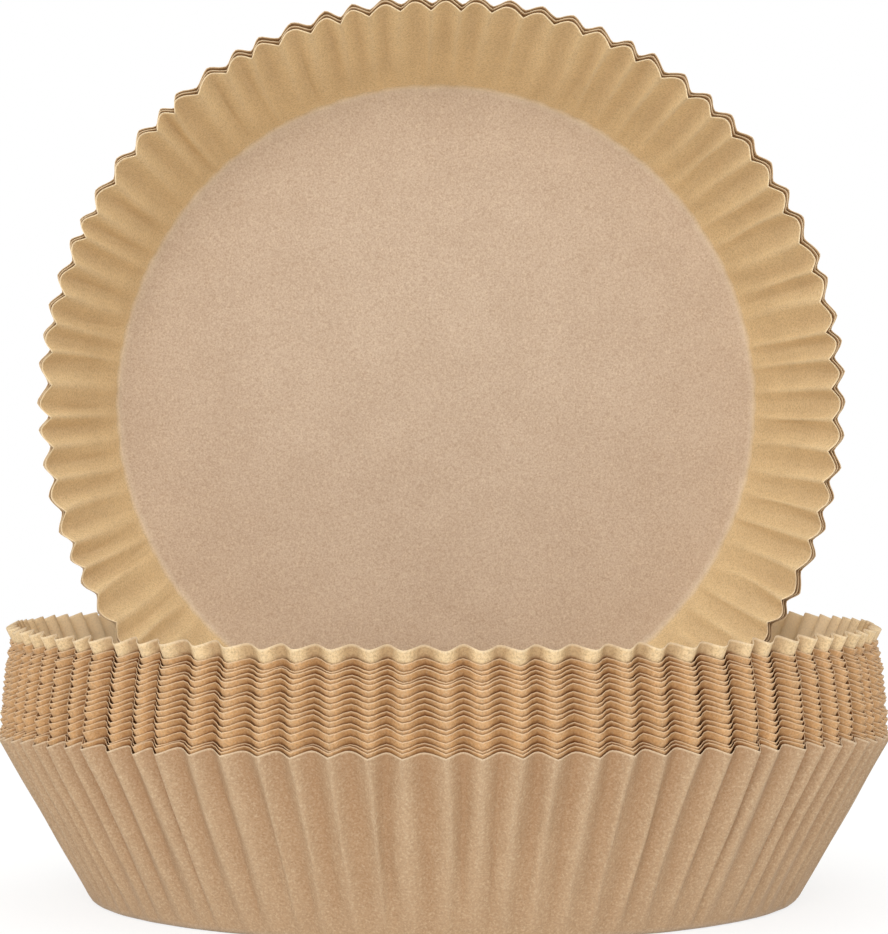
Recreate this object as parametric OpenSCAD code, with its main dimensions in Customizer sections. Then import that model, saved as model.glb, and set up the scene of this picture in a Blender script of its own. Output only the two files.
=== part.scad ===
// Stack of round pleated paper liners for an air fryer basket.
// The liners lie nested in each other, and a few more stand on edge in the top one, open side to the front.
// Each liner is one sheet of paper, pressed into a flat round base and a pleated wall.
// The origin is the centre of the lowest base, on the surface that the stack stands on. +Y is the back.

/* [Liner] */
// Radius of the flat round base
base_r = 79; // [60:0.5:110]
// Length of the wall, measured up its slope
wall_l = 41.7; // [30:0.1:60]
// Thickness of the paper, which tapers up the wall to the cut edge
paper_t = 0.15; // [0.05:0.01:0.3]
// Depth of a pleat at the rim, square to the wall
pleat_d = 2.5; // [0.5:0.1:3.5]

/* [Nested liners] */
// Number of liners in the nest
nest_n = 18; // [1:1:40]
// Pleats round a nested liner
nest_pleats = 88; // [40:4:120]
// How far the lowest wall spreads outwards from base to rim
nest_spread = 21; // [12:0.5:26]
// How much less each wall spreads than the one below it
spread_step = 0.147; // [0:0.001:0.25]
// Clearance between the walls of two nested liners
nest_gap = 0.5; // [0.4:0.05:1.5]
// How much further each liner tips forwards than the one below it, in degrees
tip_step = 0.153; // [0:0.001:0.2]
// Unevenness in the height of the nested liners
nest_rag = 0.12; // [0:0.01:0.2]

/* [Standing liners] */
// Number of liners that stand in the top nested one
stand_n = 3; // [1:1:6]
// Pleats round a standing liner
stand_pleats = 80; // [40:4:120]
// How far the front one's wall spreads outwards from base to rim
stand_spread = 13.3; // [10:0.1:20]
// How much more each one behind spreads
stand_step = 0.8; // [0:0.1:1.5]
// Clearance between the walls of two standing liners
stand_gap = 0.35; // [0.3:0.05:1]
// Lean towards the front, in degrees
stand_lean = 5; // [0:0.5:8]
// Turn of the open side towards the right, in degrees
stand_turn = 2.3; // [-5:0.1:5]
// Distance of the front one's rim behind the axis of the nest
stand_y = -1; // [-15:0.5:15]
// How far the foot of the front one is pressed flat
foot_flat = 4.2; // [2:0.1:8]
// Clearance under the foot of the rear one
foot_gap = 0.1; // [0.05:0.05:0.3]

/* [Hidden] */

// Kraft-brown greaseproof paper
PAPER = [0.80, 0.66, 0.49];
// Pleats above one straight side of the base
NEST_PER_SIDE = 2;
STAND_PER_SIDE = 1;
// Side of a liner that a standing one turns down, in degrees round its axis
DOWN = 270;
// No part of a nested liner's rim is pressed flat
ROUND = 10 * base_r;

function nest_name(i) = str("nested_liner_", i < 9 ? "0" : "", i + 1);
function stand_name(k) = str("standing_liner_", k + 1);

// Angle of a wall from upright, and its height, for what it spreads
function wall_angle(spread) = asin(spread / wall_l);
function wall_h(spread) = wall_l * cos(wall_angle(spread));

// Rise from one nested base to the next, which keeps the walls clear of each other
nest_pitch = (paper_t + nest_gap) / sin(wall_angle(nest_spread));
// Uneven part of a nested liner's height: the lowest lies on the surface, the others wander up and down
function rag(i) = i == 0 ? 0 : nest_rag * (sin(137 * i) + 0.5 * sin(73 * i));
function nest_z(i) = nest_pitch * i + rag(i);
function nest_tip(i) = tip_step * i;

// Outermost line of the rim at an angle: a circle, cut off straight where the liner stands on it
function rim_path(a, rim_r, foot_h) =
    let (across = cos(a - DOWN)) across > 0.5 ? min(rim_r, foot_h / across) : rim_r;

// One liner, base down: a flat base with straight sides round it, a wall that runs up to the pleated rim, and
// the same again inside it. The rim is cut square to the slope, so its valleys stand higher than its tips.
module liner(pleats, spread, per_side, foot_h = ROUND) {
    lean = wall_angle(spread);
    height = wall_h(spread);
    base_n = round(pleats / per_side);
    rim_n = 2 * per_side * base_n;
    inner_r = base_r - paper_t * (1 - sin(lean)) / cos(lean);

    outer_ring = [for (j = [0 : base_n - 1]) let (a = 360 * j / base_n) [base_r * cos(a), base_r * sin(a), 0]];
    inner_ring = [for (j = [0 : base_n - 1]) let (a = 360 * j / base_n)
        [inner_r * cos(a), inner_r * sin(a), paper_t]];
    rim = [for (i = [0 : rim_n - 1])
        let (a = 360 * i / rim_n,
             fold = i % 2 == 0 ? 0 : pleat_d,
             r = rim_path(a, base_r + spread, foot_h) - fold * cos(lean))
        [r * cos(a), r * sin(a), height + fold * sin(lean)]];

    // Points are numbered outer ring, inner ring, rim
    rim_0 = 2 * base_n;
    function rim_at(j, s) = rim_0 + (2 * per_side * j + s + rim_n) % rim_n;
    fans = [for (j = [0 : base_n - 1], s = [-per_side : per_side - 1]) [j, rim_at(j, s), rim_at(j, s + 1)]];
    sides = [for (j = [0 : base_n - 1]) [j, rim_at(j, per_side), (j + 1) % base_n]];
    outer = concat(fans, sides);
    inner = [for (f = outer) [for (p = [2, 1, 0]) f[p] < base_n ? f[p] + base_n : f[p]]];
    bottom = [for (j = [0 : base_n - 1]) j];
    floor_up = [for (j = [base_n - 1 : -1 : 0]) base_n + j];

    color(PAPER)
        polyhedron(points = concat(outer_ring, inner_ring, rim),
                   faces = concat(outer, inner, [bottom], [floor_up]), convexity = 10);
}

// A liner of the nest, counted from the lowest
module nested_liner(i) {
    translate([0, 0, nest_z(i)]) rotate([nest_tip(i), 0, 0])
        liner(nest_pleats, nest_spread - spread_step * i, NEST_PER_SIDE);
}

// Height of the top nested liner's floor at a distance behind the axis
function floor_z(y) = nest_z(nest_n - 1) + paper_t + y * tan(nest_tip(nest_n - 1));

// Spread of a standing liner's wall, counted from the front one
function spread_of(k) = stand_spread + stand_step * k;

// The foot of each one is higher than that of the one behind it, whose wall runs under it
foot_step = paper_t + stand_gap;
stand_pitch = foot_step / sin(wall_angle(stand_spread));
function foot_y(k) = stand_y + base_r * sin(stand_lean) + stand_pitch * k;
function foot_z(k) = floor_z(foot_y(k)) + foot_gap + foot_step * (stand_n - 1 - k);

// Direction from rim to base, then the centres of the front rim, of each base and of each rim
stand_axis = [-sin(stand_turn) * cos(stand_lean), cos(stand_turn) * cos(stand_lean), sin(stand_lean)];
front_rim = [0, stand_y, foot_z(0) + (base_r + stand_spread - foot_flat) * cos(stand_lean)];
function base_at(k) = front_rim + stand_axis * (wall_h(stand_spread) + stand_pitch * k);
function rim_centre(k) = base_at(k) - stand_axis * wall_h(spread_of(k));

// A liner on its edge in the top nested one, its open side to the front
module standing_liner(k) {
    foot_h = (rim_centre(k)[2] - foot_z(k)) / cos(stand_lean);
    translate(base_at(k)) rotate([90 + stand_lean, 0, stand_turn])
        liner(stand_pleats, spread_of(k), STAND_PER_SIDE, foot_h);
}

for (i = [0 : nest_n - 1]) nested_liner(i);
for (k = [0 : stand_n - 1]) standing_liner(k);
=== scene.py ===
"""Stack of round pleated paper liners for an air fryer basket.

Eighteen liners lie nested, and three more stand on edge in the top one, open side to the front.
Everything is in metres, +Z up, with the origin at the centre of the lowest base.
"""
import math

import bpy
import numpy as np
from bpy.props import FloatProperty, FloatVectorProperty, IntProperty, PointerProperty
from bpy.types import Operator, Panel, PropertyGroup
from mathutils import Matrix, Vector


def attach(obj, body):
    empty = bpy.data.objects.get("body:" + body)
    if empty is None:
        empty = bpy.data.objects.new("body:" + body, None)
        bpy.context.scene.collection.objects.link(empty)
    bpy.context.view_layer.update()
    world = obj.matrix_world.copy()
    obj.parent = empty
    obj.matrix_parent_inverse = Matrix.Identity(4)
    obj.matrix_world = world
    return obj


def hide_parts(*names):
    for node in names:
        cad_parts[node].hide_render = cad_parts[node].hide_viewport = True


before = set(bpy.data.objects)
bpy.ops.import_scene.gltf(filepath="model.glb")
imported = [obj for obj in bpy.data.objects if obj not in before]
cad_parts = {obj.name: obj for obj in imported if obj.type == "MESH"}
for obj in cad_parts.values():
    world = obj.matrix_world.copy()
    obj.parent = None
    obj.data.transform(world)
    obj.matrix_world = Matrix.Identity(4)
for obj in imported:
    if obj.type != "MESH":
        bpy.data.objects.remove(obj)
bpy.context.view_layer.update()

bl_info = {
    "name": "Paper liner stack",
    "version": (1, 0, 0),
    "blender": (4, 5, 0),
    "location": "View3D > Sidebar > Liners",
    "description": "Pleated greaseproof paper liners, nested and standing",
    "category": "Add Mesh",
}

MM = 0.001
BODY = "root"
NESTED = sorted(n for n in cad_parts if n.startswith("nested_liner"))
STANDING = sorted(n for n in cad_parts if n.startswith("standing_liner"))
# The top nested liner's number, counted from 0
TOP = len(NESTED) - 1

# How far the cut edge of some nested liners lies above its usual place: the second to fourth lie low on the
# lowest, those under the top one lie low too, and the top one stands proud
EDGE_LIFT = {1: -0.50 * MM, 2: -0.85 * MM, 3: -0.45 * MM,
             14: -0.3 * MM, 15: -0.6 * MM, 16: -0.9 * MM, 17: 1.2 * MM}
# Each standing liner behind the front one has slid this far to the right and up at its rim
SLID = (0.25 * MM, 0.45 * MM)

# Height of the band below the rim that has rings of its own
RIM_BAND = 2.6 * MM
# Numbers of rings in the base, the crease, the wall and that band
RINGS_SEEN = (4, 5, 14, 6)
RINGS_BETWEEN = (2, 3, 3, 9)
RINGS_STANDING = (4, 5, 14, 4)
RINGS_STANDING_BETWEEN = (2, 4, 6, 4)
# Columns for each pleat, for liners that show and for those between them
FINE, COARSE = 10, 6
# Seeds of the random draws that a nested and a standing liner share with their neighbours
NEST_SEED, STAND_SEED = 11, 23

# A pleat gets deeper up the wall by this power, and its fine creases are this share of its depth
GROWTH = 0.62
CREASE_SHARE = 0.18
# How far the wall and the crease round the base wander in and out, and a pleat's drift sideways in radians
WALL_WANDER = 0.45 * MM
CREASE_WANDER = 0.18 * MM
DRIFT = 0.015
# In the solids: the paper's thickness and the clearance under the rear standing foot
SOLID_PAPER = 0.15 * MM
FOOT_GAP = 0.1 * MM
# How much flatter the standing feet are pressed here, to stay clear of the uneven floor
FOOT_CLEAR = 0.45 * MM

# Noise in the paper: features to the metre, so about 0.5 mm for fibres and flecks and 12 mm for clouds
FIBRES, FLECKS, CLOUDS = 2300.0, 2050.0, 85.0

# Share of plain white in the floor, as the camera sees it
WHITE_SHARE = 0.72
# Strength of that white, a little over 1 to make up for what the lit share loses
WHITE_STRENGTH = 1.06
# Half the floor's width
FLOOR_HALF = 3.0
# Lamps: name, place, width and power in watts, all turned to one point in the stack
LAMPS = (("key", (-0.15, -1.2, 0.60), 0.5, 3), ("front", (-0.1, -1.7, 0.12), 1.4, 17))
LAMP_AIM = (0, 0, 0.08)
# The camera that the photograph's perspective gives: its place, how far it tips up, and its lens
CAMERA_PLACE = (0, -0.5, 0.0622)
CAMERA_TIP = math.radians(3.95)
SENSOR_MM = 36.0
LENS_MM = 83.8


def linear(hex_colour):
    """One sRGB hex colour as linear red, green and blue."""
    parts = [int(hex_colour[i:i + 2], 16) / 255 for i in (1, 3, 5)]
    return tuple(c / 12.92 if c <= 0.04045 else ((c + 0.055) / 1.055) ** 2.4 for c in parts)


def length(name, text, millimetres):
    """A length property with its default given in millimetres."""
    return FloatProperty(name=name, description=text, default=millimetres * MM, unit="LENGTH", precision=5)


def colour(name, text, hex_colour):
    """A colour property with its default given as an sRGB hex value."""
    return FloatVectorProperty(name=name, description=text, subtype="COLOR", size=3, min=0, max=1,
                               default=linear(hex_colour))


class LinerSizes(PropertyGroup):
    """Sizes of the liners and of how they lie."""
    base_r: length("Base radius", "Radius of the flat base", 79)
    wall_l: length("Wall length", "Length of the wall up its slope", 41.7)
    paper_t: length("Paper", "Thickness of the sheet", 0.1)
    crease_r: length("Crease", "Half the length over which the base turns into the wall", 1.6)
    pleat_d: length("Pleat depth", "Depth of a pleat at the rim", 2.5)
    nest_spread: length("Nest spread", "How far the lowest wall spreads outwards", 21)
    spread_step: length("Spread step", "How much less each wall spreads than the one below", 0.147)
    nest_gap: length("Nest gap", "Clearance and paper between two nested walls", 0.65)
    nest_rag: length("Nest unevenness", "Unevenness in the height of the nested liners", 0.12)
    edge_rag: length("Edge unevenness", "Unevenness of the cut edges up and down the slope", 0.42)
    nest_pleats: IntProperty(name="Nest pleats", description="Pleats round a nested liner", default=88)
    stand_pleats: IntProperty(name="Standing pleats", description="Pleats round a standing liner", default=80)
    tip_step: FloatProperty(name="Tip step", description="How much further each nested liner tips forwards",
                            default=math.radians(0.153), subtype="ANGLE")
    stand_spread: length("Standing spread", "How far the front standing wall spreads", 13.3)
    stand_step: length("Standing step", "How much more each standing liner behind spreads", 0.8)
    stand_gap: length("Standing gap", "Clearance and paper between two standing walls", 0.5)
    stand_lean: FloatProperty(name="Lean", description="Lean of the standing liners to the front",
                              default=math.radians(5), subtype="ANGLE")
    stand_turn: FloatProperty(name="Turn", description="Turn of their open side to the right",
                              default=math.radians(2.3), subtype="ANGLE")
    stand_y: length("Standing place", "Distance of the front standing rim behind the axis", -1)
    foot_flat: length("Flat foot", "How far the front standing liner's foot is pressed flat", 4.2)


class LinerColours(PropertyGroup):
    """Colours of the paper and the floor."""
    # Painted light and shade in the wall colours: one paper, darker on the lowest liner's outer wall, warmer
    # and more orange on the walls between, where light bounces from sheet to sheet, and paler on the standing
    # walls and the top wall, for light through the thin paper
    outer_wall_painted_shade: colour("Outer wall", "Wall of the lowest liner, kraft brown", "#B19271")
    inner_wall_painted_bounce: colour("Inner walls", "Walls above it, warmer where sheet lies on sheet", "#D3A470")
    stand_wall_painted_light: colour("Standing walls", "Walls of the standing liners, paler and yellower", "#E9CE9E")
    top_wall: colour("Top wall", "Wall of the top liner, where light from behind shows the most", "#EDD1A2")
    base: colour("Base", "Flat base, pressed smooth and a little pinker", "#BBA58F")
    fibre: colour("Fibre", "Dark fibres in the paper", "#7E5B3B")
    # Also the colour of the painted highlight along the pleat crests and of the painted glow inside the top
    # liner's far wall
    edge: colour("Edge", "Cut edges and worn folds, where pale fibre ends show", "#EFDDBE")
    # Painted shade: the colour put into the valleys of the pleats
    fold_shade: colour("Fold", "Bottom of the folds, where the paper is darker", "#8A5A2C")
    # Painted shade: the colour of the shade in the gap under each rim
    gap: colour("Gap", "Brown line where one wall goes down behind the next rim", "#7A4720")
    floor: colour("Floor", "White paper under the stack, as it lights it", "#F8F8F6")


def smooth(x):
    """Smooth step: 3x^2 - 2x^3 on 0 to 1."""
    x = np.clip(x, 0, 1)
    return x * x * (3 - 2 * x)


def ripple(theta, waves, seed):
    """A closed curve of a few sines round the rim, about -1 to 1: sum of w sin(k theta + phase) / sum of w."""
    rng = np.random.default_rng(seed)
    weights = rng.uniform(0.4, 1.0, len(waves))
    phases = rng.uniform(0, 2 * math.pi, len(waves))
    total = sum(w * np.sin(k * theta + p) for w, k, p in zip(weights, waves, phases))
    return total / weights.sum()


def pleat_columns(pleats, per_pleat, seed, shape):
    """Angles of the grid's columns round a liner, and how deep each lies in its pleat.

    Each pleat has the same number of columns. Its phase t runs from 0 at the outer tip to 1 in the inner
    valley and back. shape gives the shares of three depth curves: sin(t pi / 2) for a sharp tip and a
    round valley, 1 - cos(t pi / 2) for a round tip and a sharp valley, and (3t^2 - 2t^3)^1.25 for a broad
    tip and a narrower round valley. Pleats are shifted and scaled a little each, blended from one to the
    next.
    """
    rng = np.random.default_rng(seed)
    shift = rng.normal(0, 0.085, pleats)
    strength = rng.uniform(0.78, 1.12, pleats)
    turns = np.arange(pleats * per_pleat) / per_pleat
    marks = np.arange(pleats + 1)
    theta = (turns + np.interp(turns, marks, np.append(shift, shift[0]))) * 2 * math.pi / pleats
    t = np.abs((turns + 0.5) % 1 - 0.5) * 2
    curves = np.stack([np.sin(t * math.pi / 2), 1 - np.cos(t * math.pi / 2), smooth(t) ** 1.25])
    wave = np.array(shape) @ curves
    return theta, wave * np.interp(turns, marks, np.append(strength, strength[0]))


def streaks(theta, up, seed):
    """Fine creases that run up the wall and drift sideways, about -1.6 to 1.6.

    1.6 times the sum of w sin(k theta + phase + drift up) / sum of w.
    """
    rng = np.random.default_rng(seed)
    waves = (61, 97, 131, 173, 211, 263)
    weights = rng.uniform(0.5, 1.0, len(waves))
    total = sum(w * np.sin(k * theta[None, :] + rng.uniform(0, 2 * math.pi) + rng.normal(0, 5) * up)
                for w, k in zip(weights, waves))
    return total / weights.sum() * 1.6


def profile(sizes, spread, rings):
    """Section of a liner from the centre of its base to its rim: radius, height and distance from the crease.

    The section is drawn by its slope: level in the base, turning over the crease length to the slope of
    the wall, and straight from there. Radius and height are the running sums of the slope's cosine and
    sine. rings gives how many rings lie in the base, in the crease, up the wall and close to the rim.
    """
    half = sizes.crease_r
    slope = math.acos(spread / sizes.wall_l)
    base = np.linspace(0, 1, rings[0] + 1)[:-1] ** 0.8 * (sizes.base_r - half) - sizes.base_r
    crease = np.linspace(-half, half, rings[1])
    band = sizes.wall_l - RIM_BAND
    wall = np.linspace(half, band, rings[2] + 1)[1:]
    rim = np.linspace(band, sizes.wall_l, rings[3] + 1)[1:]
    s = np.concatenate([base, crease, wall, rim])
    fine = np.linspace(s[0], s[-1], 6001)
    angle = slope * smooth((fine + half) / (2 * half))
    step = np.diff(fine, prepend=fine[0])
    radius = np.cumsum(np.cos(angle) * step)
    height = np.cumsum(np.sin(angle) * step)
    return np.interp(s, fine, radius), np.interp(s, fine, height), s


def edge_line(sizes, theta, own, lift=0.0):
    """How far a liner's cut edge lies above or below its usual place along the slope, round the rim."""
    level = np.random.default_rng(own).uniform(-0.4, 0.4)
    long_waves = ripple(theta, (2, 5, 9, 14, 21), own)
    short_waves = 0.4 * ripple(theta, (37, 53, 71), own + 1)
    return lift + sizes.edge_rag * (level + long_waves + short_waves)


def liner_sheet(sizes, spread, columns, seed, edge, rings, foot=None, shift=(0, 0)):
    """Points of one liner's outer side, base down, as a grid of rings and angles.

    A ring's radius and height come from the profile. Along the wall the paper goes in, square to the
    slope, by depth(s) * wave(theta), where depth grows as (s / wall length) to the power GROWTH, and fine
    creases are added to the wave below the rim. Pleats wander sideways half-way up. edge is the cut edge's
    line up and down the slope, foot the distance from the axis to the plane that the rim is pressed flat
    on, and shift moves the rim across the axis, away from a foot that stays. The last two grow in proportion
    from the base to the rim.
    """
    theta, wave = columns
    radius, height, s = profile(sizes, spread, rings)
    lean = math.asin(spread / sizes.wall_l)
    up = np.clip(s / sizes.wall_l, 0, 1)[:, None]

    close = np.clip((s - sizes.wall_l + RIM_BAND) / RIM_BAND, 0, 1)[:, None]
    along = (0.3 * up ** 2 + 0.7 * close) * edge[None, :]
    r = radius[:, None] + along * math.sin(lean)
    z = height[:, None] + along * math.cos(lean)

    creased = wave[None, :] + CREASE_SHARE * streaks(theta, up, seed + 3) * (1.15 - up)
    depth = sizes.pleat_d * up ** GROWTH * creased
    r = r - depth * math.cos(lean)
    z = z + depth * math.sin(lean)

    r = r + up * WALL_WANDER * ripple(theta, (2, 3, 4), seed + 7)[None, :]
    at_crease = np.exp(-(s / (3 * MM)) ** 2)[:, None]
    r = r + at_crease * CREASE_WANDER * ripple(theta, (7, 19, 31, 43), seed + 9)[None, :]
    if foot is not None:
        across = np.clip(np.cos(theta - math.radians(270)), 0.2, 1)
        press = np.minimum(0, foot / across - sizes.base_r - spread)
        r = r + press[None, :] * up

    drift = DRIFT * ripple(theta, (17, 31, 53, 79), seed + 11)[None, :] * 4 * up * (1 - up)
    around = theta[None, :] + drift
    raised = up * shift[1] * (0.5 + 0.5 * np.sin(theta))[None, :]
    points = np.stack([r * np.cos(around) + up * shift[0], r * np.sin(around) + raised, z], axis=-1)
    return points, s[:, None] + along, creased * up ** 0.5


def grid_normals(points):
    """Unit normals of a grid that closes on itself along its second axis, pointing out and down."""
    along = np.gradient(points, axis=0)
    around = np.roll(points, -1, axis=1) - np.roll(points, 1, axis=1)
    normal = np.cross(around, along)
    return normal / np.maximum(np.linalg.norm(normal, axis=-1, keepdims=True), 1e-12)


def sheet_mesh(name, points, marks, thickness, place):
    """A closed thin sheet: the grid, the same moved in by the paper's thickness, and a strip round the rim.

    Ring 0 of the grid is the centre of the base and becomes one point on each side. marks are values on
    the same grid, kept as attributes for the material. A pair of grids goes to the outer and the inner side.
    """
    normals = grid_normals(points)
    inner = points - normals * thickness
    inner[0] = points[0] + np.array([0, 0, thickness])
    rings, count = points.shape[:2]

    def flat(grid):
        return np.concatenate([grid[0, :1], grid[1:].reshape(-1, *grid.shape[2:])])

    verts = np.concatenate([flat(points), flat(inner)])
    verts = verts @ np.array(place.to_3x3()).T + np.array(place.translation)
    per_side = len(verts) // 2
    index = 1 + np.arange((rings - 1) * count).reshape(rings - 1, count)
    nxt = np.roll(index, -1, axis=1)
    quads = np.stack([index[:-1], index[1:], nxt[1:], nxt[:-1]], axis=-1).reshape(-1, 4)
    fan = np.stack([np.zeros(count, int), index[0], nxt[0]], axis=-1)
    rim = np.stack([index[-1], index[-1] + per_side, nxt[-1] + per_side, nxt[-1]], axis=-1)
    quads = np.concatenate([quads[:, ::-1], quads + per_side, rim[:, ::-1]])
    fans = np.concatenate([fan[:, ::-1], fan + per_side])

    mesh = bpy.data.meshes.new(name)
    loops = np.concatenate([quads.reshape(-1), fans.reshape(-1)])
    sizes = np.concatenate([np.full(len(quads), 4), np.full(len(fans), 3)])
    mesh.vertices.add(len(verts))
    mesh.vertices.foreach_set("co", verts.astype(np.float32).ravel())
    mesh.loops.add(len(loops))
    mesh.loops.foreach_set("vertex_index", loops.astype(np.int32))
    mesh.polygons.add(len(sizes))
    starts = np.concatenate([[0], np.cumsum(sizes)[:-1]])
    mesh.polygons.foreach_set("loop_start", starts.astype(np.int32))
    mesh.polygons.foreach_set("loop_total", sizes.astype(np.int32))
    mesh.update(calc_edges=True)
    mesh.polygons.foreach_set("use_smooth", np.ones(len(sizes), bool))

    for label, grid in marks.items():
        sides = grid if isinstance(grid, tuple) else (grid, grid)
        layer = mesh.attributes.new(label, "FLOAT", "POINT")
        layer.data.foreach_set("value", np.concatenate([flat(one) for one in sides]).astype(np.float32))
    mesh.validate()
    piece = bpy.data.objects.new(name, mesh)
    bpy.context.scene.collection.objects.link(piece)
    return piece


def add(tree, kind, settings=None, **links):
    """One node with its settings, and links from other nodes' sockets to its inputs."""
    node = tree.nodes.new(kind)
    for key, value in (settings or {}).items():
        if hasattr(node, key):
            setattr(node, key, value)
        else:
            node.inputs[key].default_value = value
    for key, source in links.items():
        target = node.inputs[int(key[1:])] if key[0] == "i" and key[1:].isdigit() else node.inputs[key]
        tree.links.new(source, target)
    return node


def paper_material(name, colours, wall, sheer):
    """Greaseproof paper: unbleached kraft pulp, pressed dense and calendered.

    The eye sees a matt tan sheet with fine dark and pale fibres, faint clouds where the pulp lies thicker,
    a pinker flat base, pale cut edges and a little light through a single sheet. Painted shade darkens
    the valleys of the pleats and the gaps under the rims, a painted highlight runs along the pleat crests,
    and a painted glow pales the inside of the top liner's far wall. wall is the colour of the pleated wall,
    painted darker or paler for each group of liners, and sheer the share of the light that goes through it.
    """
    material = bpy.data.materials.new(name)
    material.use_nodes = True
    tree = material.node_tree
    tree.nodes.clear()
    place = add(tree, "ShaderNodeTexCoord").outputs["Object"]
    slope, valley_shade_and_crest_highlight, painted_gap_shade, pale = (add(tree, "ShaderNodeAttribute", {"attribute_name": label}).outputs["Fac"]
                                 for label in ("slope", "valley_shade_and_crest_highlight", "painted_gap_shade", "pale"))

    def blend(amount, under, over):
        node = add(tree, "ShaderNodeMix", {"data_type": "RGBA"}, i0=amount)
        if isinstance(under, tuple):
            node.inputs[6].default_value = (*under, 1)
        else:
            tree.links.new(under, node.inputs[6])
        node.inputs[7].default_value = (*over, 1)
        return node.outputs[2]

    def spread(value, low, high, most):
        return add(tree, "ShaderNodeMapRange", {"From Min": low, "From Max": high, "To Max": most},
                   Value=value).outputs[0]

    # Flat base to pleated wall, turning over 2 mm at the crease
    sheet = blend(spread(slope, -0.5, 1.5, 1.0), tuple(colours.base), tuple(wall))
    # Dark fibres, pale flecks, and clouds where the pulp lies thicker
    fibres = add(tree, "ShaderNodeTexNoise", {"Scale": FIBRES, "Detail": 2.0, "Roughness": 0.7}, Vector=place)
    flecks = add(tree, "ShaderNodeTexNoise", {"Scale": FLECKS, "Detail": 2.0, "Roughness": 0.7}, Vector=place)
    clouds = add(tree, "ShaderNodeTexNoise", {"Scale": CLOUDS, "Detail": 3.0, "Roughness": 0.5}, Vector=place)
    sheet = blend(spread(clouds.outputs["Fac"], 0.35, 0.65, 0.10), sheet, tuple(colours.fibre))
    sheet = blend(spread(fibres.outputs["Fac"], 0.42, 0.72, 0.45), sheet, tuple(colours.fibre))
    sheet = blend(spread(flecks.outputs["Fac"], 0.48, 0.75, 0.28), sheet, tuple(colours.edge))
    # Folds: painted shade where a pleat goes in, and a painted highlight along its crest
    sheet = blend(spread(valley_shade_and_crest_highlight, 0.35, 1.15, 0.45), sheet, tuple(colours.fold_shade))
    sheet = blend(spread(valley_shade_and_crest_highlight, 0.40, 0.0, 0.10), sheet, tuple(colours.edge))
    # Painted shade: a brown line where a wall goes down behind the rim of the next liner; then the pale cut
    # edge, and the painted glow inside the top liner's far wall
    sheet = blend(painted_gap_shade, sheet, tuple(colours.gap))
    colour_out = blend(pale, sheet, tuple(colours.edge))

    bump = add(tree, "ShaderNodeBump", {"Strength": 0.25, "Distance": 0.06 * MM}, Height=fibres.outputs["Fac"])
    shader = add(tree, "ShaderNodeBsdfPrincipled", {"Roughness": 0.62, "IOR": 1.45})
    shader.inputs["Specular IOR Level"].default_value = 0.28
    tree.links.new(colour_out, shader.inputs["Base Color"])
    tree.links.new(bump.outputs["Normal"], shader.inputs["Normal"])
    through = add(tree, "ShaderNodeBsdfTranslucent")
    tree.links.new(colour_out, through.inputs["Color"])
    paper = add(tree, "ShaderNodeMixShader")
    paper.inputs[0].default_value = sheer
    tree.links.new(shader.outputs["BSDF"], paper.inputs[1])
    tree.links.new(through.outputs["BSDF"], paper.inputs[2])
    output = add(tree, "ShaderNodeOutputMaterial")
    tree.links.new(paper.outputs[0], output.inputs["Surface"])
    return material


def stage_material(name, colours):
    """Matt white paper under the stack, which keeps its shadow.

    To the camera, and in reflections and through glass, it is white with a share of its own lit surface,
    so that the shadow stays faint as in a catalogue picture. To the light it is plain pale paper.
    """
    material = bpy.data.materials.new(name)
    material.use_nodes = True
    tree = material.node_tree
    tree.nodes.clear()
    path = add(tree, "ShaderNodeLightPath")
    mirrored = add(tree, "ShaderNodeMath", {"operation": "MAXIMUM"}, i0=path.outputs["Is Glossy Ray"],
                   i1=path.outputs["Is Transmission Ray"])
    looked_at = add(tree, "ShaderNodeMath", {"operation": "MAXIMUM"}, i0=path.outputs["Is Camera Ray"],
                    i1=mirrored.outputs[0])
    share = add(tree, "ShaderNodeMath", {"operation": "MULTIPLY"}, i0=looked_at.outputs[0])
    share.inputs[1].default_value = WHITE_SHARE
    white = add(tree, "ShaderNodeEmission", {"Color": (1, 1, 1, 1), "Strength": WHITE_STRENGTH})
    paper = add(tree, "ShaderNodeBsdfDiffuse")
    paper.inputs["Color"].default_value = (*colours.floor, 1)
    seen = add(tree, "ShaderNodeMixShader")
    tree.links.new(share.outputs[0], seen.inputs[0])
    tree.links.new(paper.outputs[0], seen.inputs[1])
    tree.links.new(white.outputs[0], seen.inputs[2])
    output = add(tree, "ShaderNodeOutputMaterial")
    tree.links.new(seen.outputs[0], output.inputs["Surface"])
    return material


def dress(piece, material, node):
    """A finished liner: its paper, its body and the node it stands for."""
    piece.data.materials.append(material)
    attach(piece, BODY)
    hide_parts(node)


def rag(i, amount):
    """Uneven part of a nested liner's height, none for the lowest."""
    if i == 0:
        return 0.0
    return amount * (math.sin(math.radians(137 * i)) + 0.5 * math.sin(math.radians(73 * i)))


def nest_height(sizes, i):
    """Height of a nested liner's base on the axis: one pitch for each liner below it, and its unevenness."""
    pitch = sizes.nest_gap * sizes.wall_l / sizes.nest_spread
    return pitch * i + rag(i, sizes.nest_rag)


def nest_edge(sizes, theta, i):
    """Cut edge of a nested liner, counted from the lowest."""
    return edge_line(sizes, theta, 100 + 10 * i, EDGE_LIFT.get(i, 0.0))


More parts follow.
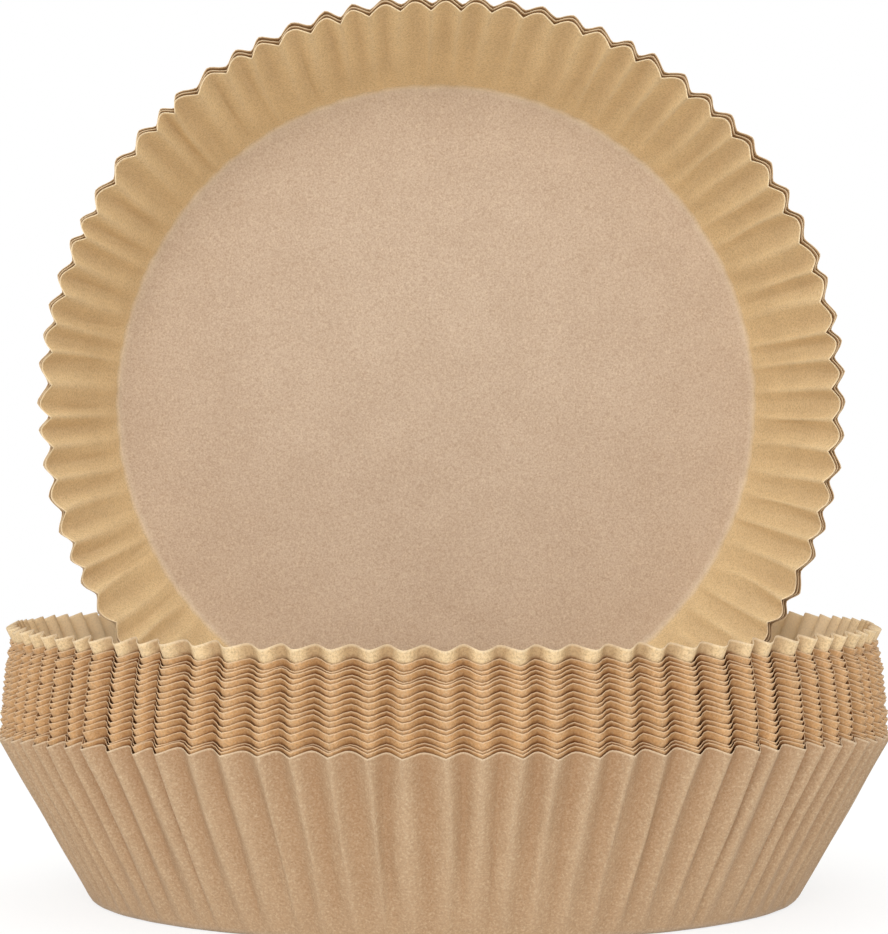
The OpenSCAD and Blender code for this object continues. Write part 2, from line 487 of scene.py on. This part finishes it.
def painted_gap_shade_mark(sizes, theta, wave, s, i):
    """How much painted shade a nested wall gets where it goes down behind the rim of the liner below it, 0 to
    1.

    The line lies below the liner's own edge by the rise between the two at that angle, measured along
    the slope, and fades upwards over a third of a millimetre at the tips and three times that in the valleys.
    It ends 2 to 4 mm below the line, is darker in the valleys, and its strength wanders round the rim.
    """
    if i == 0:
        return np.zeros_like(s)
    rim_r = sizes.base_r + sizes.nest_spread
    step = nest_height(sizes, i) - nest_height(sizes, i - 1)
    rise = step + rim_r * np.sin(theta) * math.sin(sizes.tip_step)
    lean = math.asin(sizes.nest_spread / sizes.wall_l)
    line = sizes.wall_l + nest_edge(sizes, theta, i - 1) - rise / math.cos(lean)
    reach = (0.30 + 0.85 * np.clip(wave, 0, 1) ** 2) * MM
    fade = smooth(1 - (s - line[None, :]) / reach[None, :])
    fade = fade * smooth(2 + (s - line[None, :]) / (2 * MM))
    strength = 0.50 + 0.35 * ripple(theta, (2, 5, 9, 17), 900 + i) + 0.5 * (wave - 0.5)
    return fade * np.clip(strength, 0.08, 1)[None, :]


def cut_mark(sizes, s, edge):
    """How pale the paper is in the last quarter millimetre below its cut edge."""
    return 0.42 * smooth(1 - (sizes.wall_l + edge[None, :] - s) / (0.28 * MM))


def crease_mark(s, theta):
    """How pale the pressed crease round the base is: a ring about 2 mm wide with a ragged strength."""
    strength = 0.20 + 0.12 * ripple(theta, (23, 51, 89, 127), 77)
    return np.exp(-(s / (1.1 * MM)) ** 2) * strength[None, :]


class LINER_OT_nest(Operator):
    """Make the liners that lie nested in each other"""
    bl_idname = "liner.nest"
    bl_label = "Nested liners"

    def execute(self, context):
        sizes, colours = context.scene.liner_sizes, context.scene.liner_colours
        # The wall colours carry painted shade and light: darker outside the lowest liner, warmer between the
        # rims, paler in the top liner
        outer = paper_material("greaseproof_paper_outer", colours, colours.outer_wall_painted_shade, 0.05)
        inner = paper_material("greaseproof_paper_inner", colours, colours.inner_wall_painted_bounce, 0.15)
        sheer = paper_material("greaseproof_paper_top", colours, colours.top_wall, 0.2)
        for i, node in enumerate(NESTED):
            shown = i in (0, TOP)
            # The lowest liner's pleats have the sharpest tips
            sharp = max(0.15, 0.6 - 0.09 * i)
            columns = pleat_columns(sizes.nest_pleats, FINE if shown else COARSE, NEST_SEED,
                                    (sharp, 0, 1 - sharp))
            theta, wave = columns
            edge = nest_edge(sizes, theta, i)
            spread = sizes.nest_spread - sizes.spread_step * i
            points, s, valley_shade_and_crest_highlight = liner_sheet(sizes, spread, columns, NEST_SEED, edge,
                                            RINGS_SEEN if shown else RINGS_BETWEEN)
            # The painted shade in the pleats is strongest between the rims, and faintest inside the far wall
            # of the top liner
            depth = 1.0 if i == 0 else 1.0 - 0.65 * np.sin(theta) if i == TOP else 1.6
            # The far wall of the top liner is a single sheet with light behind it, painted in as a paler glow
            # up its inner side
            cut = cut_mark(sizes, s, edge)
            far = 0.6 * np.clip(3 * np.sin(theta), 0, 1) if i == TOP else 0.0
            glow = far * smooth((s - 0.55 * sizes.wall_l) / (0.2 * sizes.wall_l))
            marks = {"slope": s / MM, "valley_shade_and_crest_highlight": valley_shade_and_crest_highlight * depth,
                     "painted_gap_shade": (painted_gap_shade_mark(sizes, theta, wave, s, i), np.zeros_like(s)),
                     "pale": (cut, np.maximum(cut, glow))}
            lifted = Matrix.Translation((0, 0, nest_height(sizes, i)))
            place = lifted @ Matrix.Rotation(sizes.tip_step * i, 4, "X")
            dress(sheet_mesh(f"paper_nested_{i + 1:02d}", points, marks, sizes.paper_t, place),
                  outer if i == 0 else sheer if i == TOP else inner, node)
        return {"FINISHED"}


class LINER_OT_standing(Operator):
    """Make the liners that stand on edge in the top nested one"""
    bl_idname = "liner.standing"
    bl_label = "Standing liners"

    def execute(self, context):
        sizes, colours = context.scene.liner_sizes, context.scene.liner_colours
        # The standing walls' paler colour is painted light, for light through the thin sheets
        material = paper_material("greaseproof_paper_standing", colours, colours.stand_wall_painted_light, 0.0)
        lean, turn = sizes.stand_lean, sizes.stand_turn
        pitch = sizes.stand_gap / math.sin(math.asin(sizes.stand_spread / sizes.wall_l))
        # From rim to base
        axis = np.array([-math.sin(turn) * math.cos(lean), math.cos(turn) * math.cos(lean), math.sin(lean)])
        turned = Matrix.Rotation(turn, 4, "Z") @ Matrix.Rotation(math.pi / 2 + lean, 4, "X")

        def foot_height(k):
            y = sizes.stand_y + sizes.base_r * math.sin(lean) + pitch * k
            floor = nest_height(sizes, TOP) + SOLID_PAPER + y * math.tan(sizes.tip_step * TOP)
            return floor + FOOT_GAP + sizes.stand_gap * (len(STANDING) - 1 - k)

        def wall_height(spread):
            return math.sqrt(sizes.wall_l ** 2 - spread ** 2)

        rim_z = foot_height(0) + (sizes.base_r + sizes.stand_spread - sizes.foot_flat) * math.cos(lean)
        front_rim = np.array([0, sizes.stand_y, rim_z])
        for k, node in enumerate(STANDING):
            spread = sizes.stand_spread + sizes.stand_step * k
            base = front_rim + axis * (wall_height(sizes.stand_spread) + pitch * k)
            rim = base - axis * wall_height(spread)
            foot = (rim[2] - foot_height(k)) / math.cos(lean) - FOOT_CLEAR
            # Round tips and sharp valleys, most so in the front one
            shape = (0.13 * k, 0.75 - 0.27 * k, 0.25 + 0.14 * k)
            columns = pleat_columns(sizes.stand_pleats, FINE, STAND_SEED, shape)
            theta = columns[0]
            edge = edge_line(sizes, theta, 500 + 10 * k)
            points, s, valley_shade_and_crest_highlight = liner_sheet(sizes, spread, columns, STAND_SEED, edge,
                                            RINGS_STANDING_BETWEEN if k == 1 else RINGS_STANDING, foot,
                                            (SLID[0] * k, SLID[1] * k))
            up = np.clip(s / sizes.wall_l, 0, 1)
            # Seen from inside, the painted shade of the pleats goes the other way and deepens up the wall, and
            # the ones behind, which show only their rims, get painted shade near the rim
            near_rim = smooth((s - sizes.wall_l) / (2 * MM) + 1.5)
            marks = {"slope": s / MM, "valley_shade_and_crest_highlight": (valley_shade_and_crest_highlight, 0.35 + 0.35 * up ** 0.5 - 0.55 * valley_shade_and_crest_highlight),
                     "painted_gap_shade": (np.zeros_like(s), near_rim * (0.0 if k == 0 else 0.6)),
                     "pale": np.maximum(cut_mark(sizes, s, edge), crease_mark(s, theta))}
            dress(sheet_mesh(f"paper_standing_{k + 1}", points, marks, sizes.paper_t,
                             Matrix.Translation(base) @ turned), material, node)
        return {"FINISHED"}


class LINER_OT_stage(Operator):
    """Make the floor, the lights, the world and the camera"""
    bl_idname = "liner.stage"
    bl_label = "Stage"

    def execute(self, context):
        scene = context.scene
        material = stage_material("matt_backdrop", scene.liner_colours)
        mesh = bpy.data.meshes.new("floor")
        square = [(x * FLOOR_HALF, y * FLOOR_HALF, 0) for x, y in ((-1, -1), (1, -1), (1, 1), (-1, 1))]
        mesh.from_pydata(square, [], [(0, 1, 2, 3)])
        floor = bpy.data.objects.new("floor", mesh)
        floor.data.materials.append(material)
        scene.collection.objects.link(floor)
        for lamp in LAMPS:
            self.light(scene, *lamp)
        self.world(scene)
        self.camera(scene)
        scene.view_settings.view_transform = "Standard"
        return {"FINISHED"}

    def light(self, scene, name, place, size, power):
        """A round soft lamp that faces the stack."""
        lamp = bpy.data.lights.new(name, "AREA")
        lamp.shape = "DISK"
        lamp.size = size
        lamp.energy = power
        holder = bpy.data.objects.new(name, lamp)
        aim = Vector(LAMP_AIM) - Vector(place)
        holder.matrix_world = Matrix.Translation(place) @ aim.to_track_quat("-Z", "Y").to_matrix().to_4x4()
        scene.collection.objects.link(holder)

    def world(self, scene):
        """An even white tent all round, as for a catalogue picture."""
        world = bpy.data.worlds.new("studio")
        world.use_nodes = True
        world.node_tree.nodes["Background"].inputs["Color"].default_value = (1, 1, 1, 1)
        scene.world = world

    def camera(self, scene):
        """The photograph's view: 0.5 m in front of the axis, a little above the nest's rim, tipped up."""
        data = bpy.data.cameras.new("camera")
        data.sensor_fit = "AUTO"
        data.sensor_width = SENSOR_MM
        data.lens = LENS_MM
        holder = bpy.data.objects.new("camera", data)
        tipped = Matrix.Rotation(math.pi / 2 + CAMERA_TIP, 4, "X")
        holder.matrix_world = Matrix.Translation(CAMERA_PLACE) @ tipped
        scene.collection.objects.link(holder)
        scene.camera = holder


class LINER_PT_panel(Panel):
    """Sidebar panel of the liner stack"""
    bl_idname = "LINER_PT_panel"
    bl_label = "Paper liner stack"
    bl_space_type = "VIEW_3D"
    bl_region_type = "UI"
    bl_category = "Liners"

    def draw(self, context):
        for group in (context.scene.liner_sizes, context.scene.liner_colours):
            for key in group.__annotations__:
                self.layout.prop(group, key)
        for operator in OPERATORS:
            self.layout.operator(operator.bl_idname)


OPERATORS = (LINER_OT_nest, LINER_OT_standing, LINER_OT_stage)
CLASSES = (LinerSizes, LinerColours, *OPERATORS, LINER_PT_panel)


def register():
    for cls in CLASSES:
        bpy.utils.register_class(cls)
    bpy.types.Scene.liner_sizes = PointerProperty(type=LinerSizes)
    bpy.types.Scene.liner_colours = PointerProperty(type=LinerColours)


def unregister():
    del bpy.types.Scene.liner_colours
    del bpy.types.Scene.liner_sizes
    for cls in reversed(CLASSES):
        bpy.utils.unregister_class(cls)


def main():
    register()
    bpy.ops.liner.nest()
    bpy.ops.liner.standing()
    bpy.ops.liner.stage()


if __name__ == "__main__":
    main()
